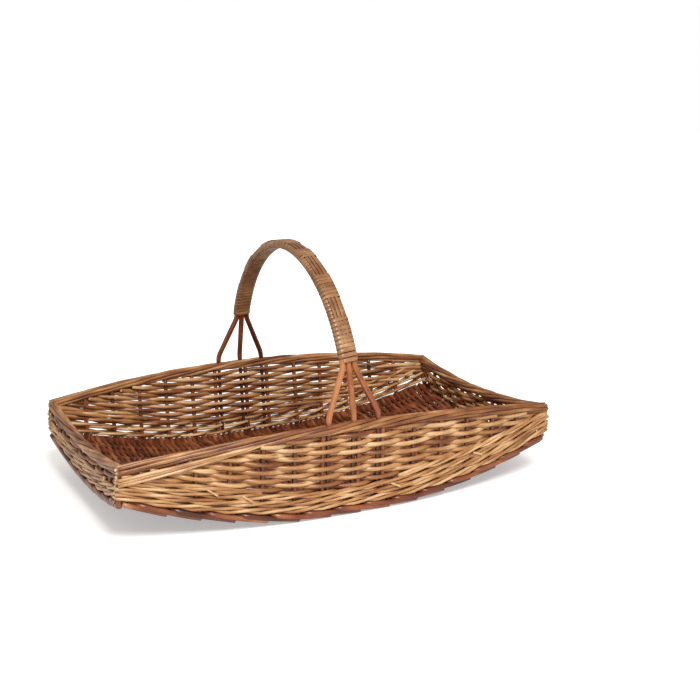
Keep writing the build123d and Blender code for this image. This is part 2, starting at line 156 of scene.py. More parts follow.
@dataclass(frozen=True)
class TrugShape:
    """The middle surface of the walls, and the bands that they are divided in.

    A place in a wall is given by its side, a distance along from the side's middle, a distance out
    from the middle surface and a height up the slanting wall from the foot line. A share is the
    distance along over half the side's length, from -1 to 1, and a crown is 1 minus its square.
    """

    rim_half_length: float = 280.0 * MM
    rim_half_width: float = 163.5 * MM
    rim_corner_height: float = 97.3 * MM
    rim_rise: float = 19.4 * MM
    rim_bulge: float = 22.0 * MM
    end_rim_dip: float = 13.4 * MM
    foot_half_length: float = 282.0 * MM
    foot_half_width: float = 153.0 * MM
    foot_bulge: float = 22.9 * MM
    foot_end_hollow: float = 3.7 * MM
    foot_corner_lift: float = 44.2 * MM
    foot_end_dip: float = 16.2 * MM
    foot_flat_share: float = 100.0 / 564.0
    foot_curve_power: float = 1.68
    foot_border_height: float = 14.0 * MM
    wale_height: float = 20.0 * MM
    wale_corner_height: float = 15.5 * MM
    packing_left: float = 10.0 * MM
    packing_right: float = 12.5 * MM
    packing_run_left: float = 200.0 * MM
    packing_run_right: float = 105.0 * MM
    border_width: float = 13.0 * MM
    row_pitch: float = 5.3 * MM
    lay_gap: float = 0.4 * MM
    level_start: float = 30.0 * MM
    level_end: float = 140.0 * MM
    side_stake_pitch: float = 39.4 * MM
    end_stake_pitch: float = 38.5 * MM
    side_stakes: int = 13
    end_stakes: int = 7
    leg_offset: float = -4.0 * MM
    leg_pitch: float = 32.5 * MM
    stake_beside_leg: float = 7.1 * MM
    knot_spread: float = 100.0 * MM

    def half_run(self, side: Side) -> float:
        """Half the length of a side."""
        return self.foot_half_length if side.is_long else self.foot_half_width

    def share(self, side: Side, along: Array) -> Array:
        """Distances along a side as shares of half its length."""
        return along / self.half_run(side)

    def lift(self, share: Array) -> Array:
        """How far a long side's foot rises: its run past the flat, to a power, times the lift."""
        run = np.maximum(0.0, np.abs(share) - self.foot_flat_share) / (1.0 - self.foot_flat_share)
        return self.foot_corner_lift * run**self.foot_curve_power

    def turned(self, side: Side, x: Array, y: Array, z: Array) -> Array:
        """Points from their three coordinates, turned half round for the side opposite."""
        return np.stack([x, y, z], axis=-1) * np.array([side.turn, side.turn, 1.0])

    def foot(self, side: Side, share: Array) -> Array:
        """Foot line: a long side bulges by its crown and lifts, an end draws in and dips by it.

        Args:
            side: The side.
            share: Shares of half its length.

        Returns:
            Points of the line.
        """
        crown = 1.0 - share**2
        if side.is_long:
            y = -self.foot_half_width - self.foot_bulge * crown
            return self.turned(side, share * self.foot_half_length, y, self.lift(share))
        x = self.foot_half_length - self.foot_end_hollow * crown
        z = self.foot_corner_lift - self.foot_end_dip * crown
        return self.turned(side, x, share * self.foot_half_width, z)

    def rim(self, side: Side, share: Array) -> Array:
        """Top line of the rim border: a long side bulges and rises by its crown, an end dips by it.

        Args:
            side: The side.
            share: Shares of half its length.

        Returns:
            Points of the line.
        """
        crown = 1.0 - share**2
        if side.is_long:
            y = -self.rim_half_width - self.rim_bulge * crown
            z = self.rim_corner_height + self.rim_rise * crown
            return self.turned(side, share * self.rim_half_length, y, z)
        x = np.full_like(share, self.rim_half_length)
        z = self.rim_corner_height - self.end_rim_dip * crown
        return self.turned(side, x, share * self.rim_half_width, z)

    def axes(self, side: Side, along: Array) -> tuple[Array, Array, Array]:
        """Foot point, outward direction and upward direction of the wall at each distance along it.

        Args:
            side: The side.
            along: Distances from its middle.

        Returns:
            Foot points, unit vectors outwards and unit vectors up the wall.
        """
        share = self.share(side, along)
        foot = self.foot(side, share)
        up = unit(self.rim(side, share) - foot)
        run = self.foot(side, share + SLOPE_STEP) - self.foot(side, share - SLOPE_STEP)
        run[:, 2] = 0.0
        out = unit(np.cross(unit(run), up))
        return foot, out, up

    def place(self, side: Side, along: Array, out: Array, height: Array) -> Array:
        """Points in the wall: foot plus out times outwards plus height times upwards.

        Args:
            side: The side.
            along: Distances from its middle.
            out: Distances out from the wall's middle surface.
            height: Heights up the slanting wall.

        Returns:
            One point for each distance along.
        """
        foot, outwards, upwards = self.axes(side, along)
        spread = np.broadcast_to(out, along.shape)[:, None]
        rise = np.broadcast_to(height, along.shape)[:, None]
        return foot + outwards * spread + upwards * rise

    def wall_height(self, side: Side, along: Array) -> Array:
        """Length of the wall's slanting line from foot to rim."""
        share = self.share(side, along)
        return np.linalg.norm(self.rim(side, share) - self.foot(side, share), axis=-1)

    def stretch(self, side: Side, along: Array) -> Array:
        """How much a band's height grows: 1 over the cosine of the foot line's slope.

        Args:
            side: The side.
            along: Distances from its middle.

        Returns:
            The growth at each distance, 1 or more.
        """
        share = self.share(side, along)
        run = unit(self.foot(side, share + SLOPE_STEP) - self.foot(side, share - SLOPE_STEP))
        return 1.0 / np.hypot(run[:, 0], run[:, 1])

    def wale_low(self, side: Side, along: Array) -> Array:
        """Height of the wale's underside, on top of the foot border."""
        return self.foot_border_height * self.stretch(side, along)

    def wale_thinning(self, side: Side, along: Array) -> Array:
        """How much lower the wale is than in its middle, by the square of the share."""
        return (self.wale_height - self.wale_corner_height) * self.share(side, along) ** 2

    def wale_high(self, side: Side, along: Array) -> Array:
        """Height of the wale's top. The band thins towards the corners."""
        band = self.wale_height - self.wale_thinning(side, along)
        return (self.foot_border_height + band) * self.stretch(side, along)

    def packed_high(self, side: Side, along: Array) -> Array:
        """Height of the wale's top with the short rows packed in towards both ends of a long side.

        Args:
            side: The side.
            along: Distances from its middle.

        Returns:
            The height at each distance, under the rim border.
        """
        top = self.wale_high(side, along)
        if not side.is_long:
            return top
        world = along * side.turn
        packing = self.packing_left * smooth_step(-world / self.packing_run_left)
        packing = packing + self.packing_right * smooth_step(world / self.packing_run_right)
        packing = packing + self.wale_thinning(side, along)
        ceiling = self.wall_height(side, along) - self.border_width
        return np.minimum(top + packing, np.maximum(top, ceiling))

    def row_floor(self, side: Side, along: Array) -> Array:
        """Height that rows are counted from: the wale's top, and on the right half a level line.

        Args:
            side: The side.
            along: Distances from its middle.

        Returns:
            The height at each distance.
        """
        low = self.wale_high(side, along)
        if not side.is_long:
            return low
        world = along * side.turn
        share = smooth_step((world - self.level_start) / (self.level_end - self.level_start))
        level = self.wale_high(side, np.zeros(1)) - self.lift(self.share(side, along))
        return low + (level - low) * share

    def leg_places(self, side: Side) -> Array:
        """Where the three bow rods stand in a long side, in the side's own distances."""
        return side.turn * (self.leg_offset + self.leg_pitch * np.array([-1.0, 0.0, 1.0]))

    def stakes_and_pitch(self, side: Side) -> tuple[int, float]:
        """How many stakes a side has, and how far apart they stand.

        Args:
            side: The side.

        Returns:
            Their number and their pitch.
        """
        if side.is_long:
            return self.side_stakes, self.side_stake_pitch
        return self.end_stakes, self.end_stake_pitch

    def stake_places(self, side: Side) -> Array:
        """Where the stakes of a side stand: evenly, but for those beside the bow's three legs.

        Args:
            side: The side.

        Returns:
            Distances from the side's middle, in rising order.
        """
        count, pitch = self.stakes_and_pitch(side)
        places = (np.arange(count) - (count - 1) / 2) * pitch
        if not side.is_long:
            return places
        middle = count // 2
        legs = self.leg_places(Side.FRONT)
        places[middle - 1 : middle + 2] = legs + self.stake_beside_leg * np.array([-1.0, 1.0, 1.0])
        return np.sort(places * side.turn)

    def bay(self, side: Side, along: Array) -> Array:
        """Distance along a side counted in the uprights that the weavers go round.

        A stake and the leg beside it count as one, and the corner posts are the first and the last.

        Args:
            side: The side.
            along: Distances from its middle.

        Returns:
            The count from the middle, straight between uprights.
        """
        stakes = self.stake_places(side)
        if side.is_long:
            middle = self.side_stakes // 2
            legs = np.sort(self.leg_places(side))
            stakes[middle - 1 : middle + 2] = (stakes[middle - 1 : middle + 2] + legs) / 2.0
        reach, spread = self.half_run(side), self.knot_spread
        places = np.concatenate([[-reach - spread, -reach], stakes, [reach, reach + spread]])
        half = (len(stakes) + 1) // 2
        last = half + spread / self.side_stake_pitch
        numbers = np.concatenate([[-last], np.arange(-half, half + 1), [last]])
        return np.interp(along, places, numbers)


@dataclass
class RodBundle:
    """Willow rods gathered in one mesh, each a closed tube with its own tone and pale cut ends.

    A rod's surface is path + across * a * cos(angle) + upright * b * sin(angle), on a grid of path
    points and angles. Its ends are bevelled and slightly domed. Its UV map holds metres along the
    rod and metres round it.
    """

    name: str
    sides: int = 8
    bevel_share: float = 0.18
    bevel_draw: float = 0.2
    dome: float = 1.2
    points: list[Array] = field(default_factory=list)
    quads: list[Array] = field(default_factory=list)
    triangles: list[Array] = field(default_factory=list)
    quad_uvs: list[Array] = field(default_factory=list)
    triangle_uvs: list[Array] = field(default_factory=list)
    tones: list[Array] = field(default_factory=list)
    cuts: list[Array] = field(default_factory=list)
    size: int = 0

    def add(
        self,
        path: Array,
        across: Array,
        half_across: Values,
        half_upright: Values,
        tone: Values,
        cut: float = 1.0,
        start_along: float = 0.0,
    ) -> None:
        """Adds one rod.

        Args:
            path: Points of its middle line.
            across: A direction, or one for each point, that its width is measured towards.
            half_across: Half its thickness in that direction.
            half_upright: Half its thickness at right angles to that.
            tone: From 0, the darkest bark, to 1, the palest, for the rod or for each of its points.
            cut: 1 where the ends show pale pith, 0 where they are as dark as the rod.
            start_along: Where its own length starts, so that its streaks are its own.
        """
        count = len(path)
        heading = unit(np.gradient(path, axis=0))
        first = unit(across - heading * np.sum(across * heading, axis=1, keepdims=True))
        second = np.cross(heading, first)
        angle = np.arange(self.sides) * TURN / self.sides
        a = np.broadcast_to(half_across, (count,))[:, None, None]
        b = np.broadcast_to(half_upright, (count,))[:, None, None]
        offsets = first[:, None] * a * np.cos(angle)[None, :, None]
        offsets = offsets + second[:, None] * b * np.sin(angle)[None, :, None]
        rings = path[:, None] + offsets
        bevel = float(np.mean(a)) * self.bevel_share
        ends = np.array([0, -1])
        away = heading[ends] * np.array([[-bevel], [bevel]])
        caps = rings[ends] - offsets[ends] * self.bevel_draw + away[:, None]
        grid = np.concatenate([caps[:1], rings, caps[1:]])
        self.points += [grid.reshape(-1, 3), path[ends] + away * self.dome]
        run = travelled(path)
        length = start_along + np.concatenate([[-bevel], run, [run[-1] + bevel]])
        self.add_faces(length, float(np.mean(b)), start_along)
        tones = np.broadcast_to(tone, (count,))
        tones = np.concatenate([tones[:1], tones, tones[-1:]])
        self.tones.append(np.concatenate([np.repeat(tones, self.sides), tones[:1], tones[-1:]]))
        cuts = np.zeros(len(length) * self.sides + 2)
        cuts[: self.sides] = cut
        cuts[-self.sides - 2 :] = cut
        self.cuts.append(cuts)
        self.size += len(cuts)

    def add_faces(self, length: Array, radius: float, cap_uv: float) -> None:
        """Adds the faces of one rod: quads round the grid, and a fan of triangles on each end.

        Args:
            length: Metres along the rod at each ring, the ends' rings included.
            radius: The radius that metres round the rod are counted with.
            cap_uv: The one UV value of both fans.
        """
        rows, sides = len(length), self.sides
        row, column = np.meshgrid(np.arange(rows - 1), np.arange(sides), indexing="ij")
        after = (column + 1) % sides
        low, high = row * sides, (row + 1) * sides
        quads = np.stack([low + column, low + after, high + after, high + column], axis=-1)
        self.quads.append(quads.reshape(-1, 4) + self.size)
        girth = np.arange(sides + 1) * TURN / sides * radius
        corners = ((0, 0), (0, 1), (1, 1), (1, 0))
        uv = [np.stack([length[row + i], girth[column + j]], axis=-1) for i, j in corners]
        self.quad_uvs.append(np.stack(uv, axis=-2).reshape(-1, 2))
        ring = np.arange(sides)
        turned = (ring + 1) % sides
        last, middle = (rows - 1) * sides, rows * sides
        start_fan = np.stack([turned, ring, np.full(sides, middle)], axis=-1)
        end_fan = np.stack([last + ring, last + turned, np.full(sides, middle + 1)], axis=-1)
        fans = np.concatenate([start_fan, end_fan])
        self.triangles.append(fans + self.size)
        self.triangle_uvs.append(np.full((fans.size, 2), cap_uv))

    def build(self) -> bpy.types.Object:
        """Makes the mesh object, smooth shaded, with its UV map and its tone and cut attributes.

        Returns:
            The object, linked to the scene.
        """
        mesh = bpy.data.meshes.new(self.name)
        faces = np.concatenate(self.quads).tolist() + np.concatenate(self.triangles).tolist()
        mesh.from_pydata(np.concatenate(self.points), [], faces)
        layer = mesh.uv_layers.new(name="rod")
        corners = np.concatenate(self.quad_uvs + self.triangle_uvs)
        layer.data.foreach_set("uv", corners.astype(np.float32).ravel())
        for name, values in (("tone", self.tones), ("cut", self.cuts)):
            attribute = mesh.attributes.new(name, "FLOAT", "POINT")
            attribute.data.foreach_set("value", np.concatenate(values).astype(np.float32))
        mesh.polygons.foreach_set("use_smooth", np.ones(len(faces), dtype=bool))
        mesh.update()
        piece = bpy.data.objects.new(self.name, mesh)
        bpy.context.scene.collection.objects.link(piece)
        return piece


def linear(hex_colour: str) -> Quad:
    """An sRGB hex colour as the linear values that a shader takes.

    Args:
        hex_colour: A hash sign and six digits.

    Returns:
        Red, green, blue and a full alpha.
    """
    values = [int(hex_colour[i : i + 2], 16) / 255.0 for i in (1, 3, 5)]
    bent = [v / 12.92 if v <= 0.04045 else ((v + 0.055) / 1.055) ** 2.4 for v in values]
    return (bent[0], bent[1], bent[2], 1.0)


def per_metre(size: float) -> float:
    """How often a pattern of a real size repeats in a metre, to the nearest whole number."""
    return float(round(1.0 / size))


def add_node(
    tree: bpy.types.NodeTree,
    kind: str,
    inputs: dict[str | int, object] | None = None,
    **settings: object,
) -> bpy.types.Node:
    """Adds a node with its settings, its constants and its links.

    Args:
        tree: The node tree of a material or world.
        kind: The node's type name after "ShaderNode".
        inputs: By input name or number, a constant or the output socket that feeds it.
        **settings: Properties of the node itself.

    Returns:
        The new node.
    """
    node = tree.nodes.new(f"ShaderNode{kind}")
    for name, value in settings.items():
        setattr(node, name, value)
    for key, value in (inputs or {}).items():
        if isinstance(value, bpy.types.NodeSocket):
            tree.links.new(value, node.inputs[key])
        else:
            node.inputs[key].default_value = value
    return node


def empty_tree(owner: bpy.types.Material | bpy.types.World) -> bpy.types.NodeTree:
    """Switches a material or world to nodes, and clears them.

    Args:
        owner: What the nodes belong to.

    Returns:
        Its empty node tree.
    """
    owner.use_nodes = True
    owner.node_tree.nodes.clear()
    return owner.node_tree


@dataclass(frozen=True)
class WillowFinish:
    """Willow rod: smooth bark or bare wood with fine lengthwise streaks, blotches and bud scars.

    The eye gets a waxy sheen along each rod, streaks about a millimetre wide and twenty long, and a
    small dark scar every eighty millimetres or so. Cut ends are pale pith. The rod's tone picks its
    colour between four, from dark to pale.
    """

    name: str
    slot: str
    tones: tuple[str, str, str, str]
    roughness: float
    coat: float
    coat_roughness: float = 0.25
    tone_stops: Quad = (0.0, 0.38, 0.68, 1.0)
    blotch: float = 0.35
    blotch_spread: float = 2.2
    blotch_size: float = 26.3 * MM
    streak: float = 0.3
    streak_light: float = 0.6
    streak_dull: float = 0.1
    streak_gloss: float = 0.06
    streak_length: float = 18.2 * MM
    streak_width: float = 1.111 * MM
    bump: float = 0.25
    bump_height: float = 0.6 * MM
    scar: str = "#4a2c18"
    scar_spacing: float = 76.9 * MM
    scar_girth: float = 10.53 * MM
    pith: str = "#e6c9a0"

    def build(self) -> bpy.types.Material:
        """Makes the material.

        Returns:
            The material. It reads the rod map, the tone and cut attributes and Object coordinates.
        """
        material = bpy.data.materials.new(self.name)
        tree = empty_tree(material)
        add = partial(add_node, tree)
        tone = add("Attribute", attribute_name="tone")
        cut = add("Attribute", attribute_name="cut")
        rod = add("UVMap", uv_map="rod")
        place = add("TexCoord")
        # blotches of bark shift the tone up and down
        scale = per_metre(self.blotch_size)
        noise = {"Vector": place.outputs["Object"], "Scale": scale, "Detail": 3.0, "Roughness": 0.6}
        blotches = add("TexNoise", noise)
        drift = add("Math", {0: blotches.outputs["Fac"], 1: 0.5}, operation="SUBTRACT")
        spread = {0: drift.outputs[0], 1: self.blotch * self.blotch_spread, 2: tone.outputs["Fac"]}
        shifted = add("Math", spread, operation="MULTIPLY_ADD")
        colours = add("ValToRGB", {"Fac": shifted.outputs[0]})
        ramp = colours.color_ramp
        while len(ramp.elements) < len(self.tones):
            ramp.elements.new(1.0)
        for stop, at, tint in zip(ramp.elements, self.tone_stops, self.tones):
            stop.position = at
            stop.color = linear(tint)
        # streaks run along the rod, lighter and darker, glossier and duller
        scale = (per_metre(self.streak_length), per_metre(self.streak_width), 1.0)
        drawn = add("Mapping", {"Vector": rod.outputs["UV"], "Scale": scale})
        noise = {"Vector": drawn.outputs[0], "Scale": 1.0, "Detail": 4.0, "Roughness": 0.55}
        streaks = add("TexNoise", noise).outputs["Fac"]
        light, sheen = (
            add(
                "MapRange",
                {"Value": streaks, "From Min": 0.3, "From Max": 0.7, "To Min": low, "To Max": high},
            )
            for low, high in (
                (1.0 - self.streak, 1.0 + self.streak * self.streak_light),
                (self.roughness + self.streak_dull, self.roughness - self.streak_gloss),
            )
        )
        streaked = add("HueSaturation", {"Color": colours.outputs[0], "Value": light.outputs[0]})
        # bud scars lie one to a cell, in cells of the scars' spacing along and round the rod
        scale = (per_metre(self.scar_spacing), per_metre(self.scar_girth), 1.0)
        scattered = add("Mapping", {"Vector": rod.outputs["UV"], "Scale": scale})
        cells = add("TexVoronoi", {"Vector": scattered.outputs[0], "Scale": 1.0})
        fall = {"From Min": 0.05, "From Max": 0.13, "To Min": 0.75, "To Max": 0.0}
        scars = add("MapRange", {"Value": cells.outputs["Distance"], **fall})
        colour = streaked.outputs[0]
        for share, tint in ((scars.outputs[0], self.scar), (cut.outputs["Fac"], self.pith)):
            mixed = add("Mix", {0: share, 6: colour, 7: linear(tint)}, data_type="RGBA")
            colour = mixed.outputs[2]
        lines = {"Height": streaks, "Strength": self.bump, "Distance": self.bump_height}
        relief = add("Bump", lines)
        shader = add(
            "BsdfPrincipled",
            {
                "Base Color": colour,
                "Roughness": sheen.outputs[0],
                "Normal": relief.outputs[0],
                "IOR": 1.5,
                "Coat Weight": self.coat,
                "Coat Roughness": self.coat_roughness,
            },
        )
        add("OutputMaterial", {"Surface": shader.outputs[0]})
        return material


# buff willow, boiled in its bark and peeled: honey coloured, with a soft sheen
HONEY_WILLOW = WillowFinish(
    "honey_willow_buff", "willow_buff", ("#743d1d", "#9c6537", "#bd8955", "#dfb684"), 0.36, 0.22
)
# stout rods with their steamed bark on: red brown, and glossy as if polished
RED_WILLOW = WillowFinish(
    "steamed_willow_red", "willow_stake", ("#401b0c", "#6e3417", "#985026", "#c27c49"), 0.24, 0.6
)
# the same bark on the base and the foot, where it is duller and darker
BROWN_WILLOW = WillowFinish(
    "steamed_willow_brown", "willow_brown", ("#4e220f", "#773a1e", "#94522f", "#ba7d50"), 0.36, 0.3
)
# split cane of the lapping: tan, blotched by handling, with a hard glossy skin
TAN_CANE = WillowFinish(
    "split_cane_tan",
    "cane",
    ("#5d331c", "#875833", "#a97b52", "#cba378"),
    0.34,
    0.3,
    blotch=0.55,
    bump=0.35,
)


@dataclass
class Workshop:
    """Seeded chance, the shape and the finishes that every part of the basket is made with."""

    shape: TrugShape
    chance: np.random.Generator = field(default_factory=lambda: np.random.default_rng(SEED))
    materials: dict[str, bpy.types.Material] = field(default_factory=dict)
    slow_radian: float = 17.5 * MM
    quick_radian: float = 7.3 * MM
    slow_share: float = 0.6
    tone_drift: float = 0.28
    start_range: float = 40.0

    def wander(self, along: Array, size: float) -> Array:
        """A slow random waver: two sines of random phase, with waves of about 110 and 46 mm.

        Args:
            along: Distances along a rod.
            size: The most that it wavers to either side.

        Returns:
            The waver at each distance.
        """
        phase = self.chance.uniform(0.0, TURN, 2)
        slow = np.sin(along / self.slow_radian + phase[0])
        quick = np.sin(along / self.quick_radian + phase[1])
        return size * (self.slow_share * slow + (1.0 - self.slow_share) * quick)

    def tone(self, low: float, high: float) -> float:
        """A random tone for one rod."""
        return float(self.chance.uniform(low, high))

    def shaded(self, along: Array, low: float, high: float) -> Array:
        """A random tone for one rod that drifts along it, as bark does from butt to tip."""
        return self.tone(low, high) + self.wander(along, self.tone_drift)

    def start(self) -> float:
        """A random start of a rod's own length, in metres."""
        return float(self.chance.uniform(0.0, self.start_range))

    def hand_over(self, bundle: RodBundle, finish: WillowFinish, *nodes: str) -> None:
        """Builds a bundle, dresses it and puts it in place of its nodes.

        Args:
            bundle: The rods.
            finish: Their finish.
            *nodes: Names of the CAD nodes that they stand for.
        """
        piece = bundle.build()
        if finish.name not in self.materials:
            self.materials[finish.name] = finish.build()
        piece.data.materials.append(self.materials[finish.name])
        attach(piece, "root")
        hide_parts(*nodes)
        LOG.info("%s: %d faces", piece.name, len(piece.data.polygons))


@dataclass
class SidePart:
    """A part that each side of the basket has its own of: rods that lie or stand in its wall."""

    shop: Workshop
    side: Side
    overruns: Pair = (0.0, 0.0)
    points_each_bay: int = 14

    @property
    def shape(self) -> TrugShape:
        """The basket's shape."""
        return self.shop.shape

    @property
    def reach(self) -> float:
        """How far its rods run from the middle: long sides and ends have an overrun each."""
        overrun = self.overruns[0] if self.side.is_long else self.overruns[1]
        return self.shape.half_run(self.side) + overrun

    def stations(self) -> Array:
        """Even distances along the side, so many to a bay between uprights.

        Returns:
            The distances, from -reach to reach.
        """
        bays = self.shape.bay(self.side, np.array([-self.reach, self.reach]))
        count = int((bays[1] - bays[0]) * self.points_each_bay)
        return np.linspace(-self.reach, self.reach, count)

    def lay(
        self,
        bundle: RodBundle,
        along: Array,
        out: Values,
        height: Array,
        halves: tuple[Values, Values],
        tone: Values,
        cut: float = 1.0,
    ) -> None:
        """Adds a rod that lies in the wall.

        Args:
            bundle: The bundle that it belongs to.
            along: Distances from its middle.
            out: Distances out from the wall's middle surface.
            height: Heights up the slanting wall.
            halves: Half its thickness outwards, and half its thickness up the wall.
            tone: Its tone.
            cut: How pale its ends are.
        """
        path = self.shape.place(self.side, along, out, height)
        across = self.shape.axes(self.side, along)[1]
        bundle.add(path, across, *halves, tone, cut, self.shop.start())


@dataclass
class WovenWall(SidePart):
    """One randed wall: level weavers that pass in front of one upright and behind the next.

    Weaver r swings with c = cos(pi * bay + pi * r), broadened. It is pressed a little flatter where
    it passes an upright. Where the wale's packing covers it, it swings less and lies further in.
    """

    amplitude: float = 3.4 * MM
    crest_share: float = 0.25
    half_across: float = 2.8 * MM
    half_upright: float = 2.65 * MM
    stoutness: Pair = (0.9, 1.06)
    between_share: float = 1.14
    pressed_share: float = -0.22
    height_waver: float = 0.45 * MM
    out_waver: float = 0.25 * MM
    girth_waver: float = 0.06
    low_rows: float = 2.0
    low_tones: Pair = (0.1, 0.5)
    high_tones: Pair = (0.25, 0.85)
    least_bays: float = 0.6
    tuck: float = 3.6 * MM
    buried_swing: float = 0.5
    buried_shift: float = 2.2 * MM
    overruns: Pair = (4.5 * MM, -2.0 * MM)
    end_rows: int = 2

    def build(self) -> None:
        """Weaves the wall."""
        shape, shop, side = self.shape, self.shop, self.side
        bundle = RodBundle(f"randing_{side.value}")
        stations = self.stations()
        low = shape.wale_high(side, stations)
        packed = shape.packed_high(side, stations)
        high = shape.wall_height(side, stations) - shape.border_width
        floor = shape.row_floor(side, stations) + shape.lay_gap
        bay = shape.bay(side, stations)
        pitch = np.full_like(stations, shape.row_pitch)
        rows = int(float(np.max(high - floor)) / shape.row_pitch) + 2
        if not side.is_long:
            rows = self.end_rows
            pitch = (high - floor) / rows
        for row in range(rows):
            height = floor + (row + 0.5) * pitch + shop.wander(stations, self.height_waver)
            half = self.half_upright * shop.chance.uniform(*self.stoutness)
            shown = (height - half > low - self.tuck) & (height + half < high + self.tuck)
            for part in stretches(shown):
                if part.stop - part.start < self.points_each_bay * self.least_bays:
                    continue
                along = stations[part]
                swing = np.cos(np.pi * (bay[part] + row))
                buried = smooth_step((packed - height + half)[part] / shape.row_pitch)
                out = self.amplitude * broadened(swing, self.crest_share)
                out = out * (1.0 - self.buried_swing * buried) - self.buried_shift * buried
                out = out + shop.wander(along, self.out_waver)
                girth = 1.0 + shop.wander(along, self.girth_waver)
                pressed = self.between_share + self.pressed_share * swing**2
                halves = (self.half_across * girth, half * girth * pressed)
                above = float(np.mean(height[part] - low[part]))
                is_low = above < self.low_rows * shape.row_pitch
                tone = shop.shaded(along, *(self.low_tones if is_low else self.high_tones))
                self.lay(bundle, along, out, height[part], halves, tone)
        shop.hand_over(bundle, HONEY_WILLOW, f"weave_{side.value}")


@dataclass
class UpsettWale(SidePart):
    """The wale above the foot border: rounds of three rods, each in front of two and behind one.

    In a round, the rod of family f has the phase (bay - f) modulo 3, and each round is shifted.
    With d the distance to phase 0 over the pass width, it lies at amplitude * (1 - 2 exp(-d
    squared)): behind the uprights at phase 0 and outside them at 1 and 2. It climbs between those
    two. The upper rounds are packed in at both ends of a long side.
    """

    round_height: float = 8.6 * MM
    round_shift: float = 1.3
    least_round: float = 0.35
    families: int = 3
    amplitude: float = 4.7 * MM
    pass_width: float = 0.46
    climb_phases: tuple[float, ...] = (0.0, 0.9, 2.1, 3.0)
    climb_shares: tuple[float, ...] = (0.5, 0.17, 0.83, 0.5)
    half_across: float = 2.15 * MM
    half_upright: float = 2.05 * MM
    stoutness: Pair = (0.9, 1.05)
    height_waver: float = 0.35 * MM
    out_waver: float = 0.3 * MM
    girth_waver: float = 0.05
    tones: Pair = (0.35, 0.95)
    sink: float = 1.5 * MM
    overlap: float = 0.6 * MM
    points_each_bay: int = 12
    overruns: Pair = (5.0 * MM, -1.5 * MM)
    # in millimetres: places along the side and up the wall, and how far each end runs about them
    trimmings: tuple[Pair, ...] = ((-179.0, 38.5), (-138.0, 33.0), (52.0, 30.0), (171.0, 36.0))
    trimming_run: Pair = (-5.5, 5.5)
    trimming_fall: Pair = (2.2, -3.0)
    trimming_out: Pair = (6.2, 8.4)
    trimming_points: int = 6
    trimming_halves: Pair = (1.2 * MM, 1.3 * MM)
    trimming_tone: float = 1.0

    def build(self) -> None:
        """Weaves the wale."""
        shape, shop, side = self.shape, self.shop, self.side
        bundle = RodBundle(f"upsett_{side.value}")
        stations = self.stations()
        bay = shape.bay(side, stations)
        low = shape.wale_low(side, stations) - self.sink
        high = shape.packed_high(side, stations) + self.overlap
        rounds = int(np.ceil(float(np.max(high - low)) / self.round_height))
        for layer in range(rounds):
            bottom = low + layer * self.round_height
            top = np.minimum(bottom + self.round_height, high)
            room = (top - bottom) / self.round_height > self.least_round
            for part, family in product(stretches(room), range(self.families)):
                along = stations[part]
                phase = np.mod(bay[part] - family - layer * self.round_shift, self.families)
                away = np.minimum(phase, self.families - phase)
                out = self.amplitude * (1.0 - 2.0 * np.exp(-((away / self.pass_width) ** 2)))
                climb = np.interp(phase, self.climb_phases, self.climb_shares)
                height = bottom[part] + (top - bottom)[part] * climb
                height = height + shop.wander(along, self.height_waver)
                out = out + shop.wander(along, self.out_waver)
                stout = shop.chance.uniform(*self.stoutness)
                girth = stout * (1.0 + shop.wander(along, self.girth_waver))
                halves = (self.half_across * girth, self.half_upright * girth)
                self.lay(bundle, along, out, height, halves, shop.shaded(along, *self.tones))
        if side.is_long:
            self.add_trimmings(bundle)
        shop.hand_over(bundle, HONEY_WILLOW, f"upsett_wale_{side.value}")

    def add_trimmings(self, bundle: RodBundle) -> None:
        """Adds the few rod ends that stand out slantwise where a new weaver was joined in.

        Args:
            bundle: The wale's rods.
        """
        for place, top in self.trimmings:
            along = (place + np.linspace(*self.trimming_run, self.trimming_points)) * MM
            height = (top + np.linspace(*self.trimming_fall, self.trimming_points)) * MM
            out = np.linspace(*self.trimming_out, self.trimming_points) * MM
            self.lay(bundle, along, out, height, self.trimming_halves, self.trimming_tone)


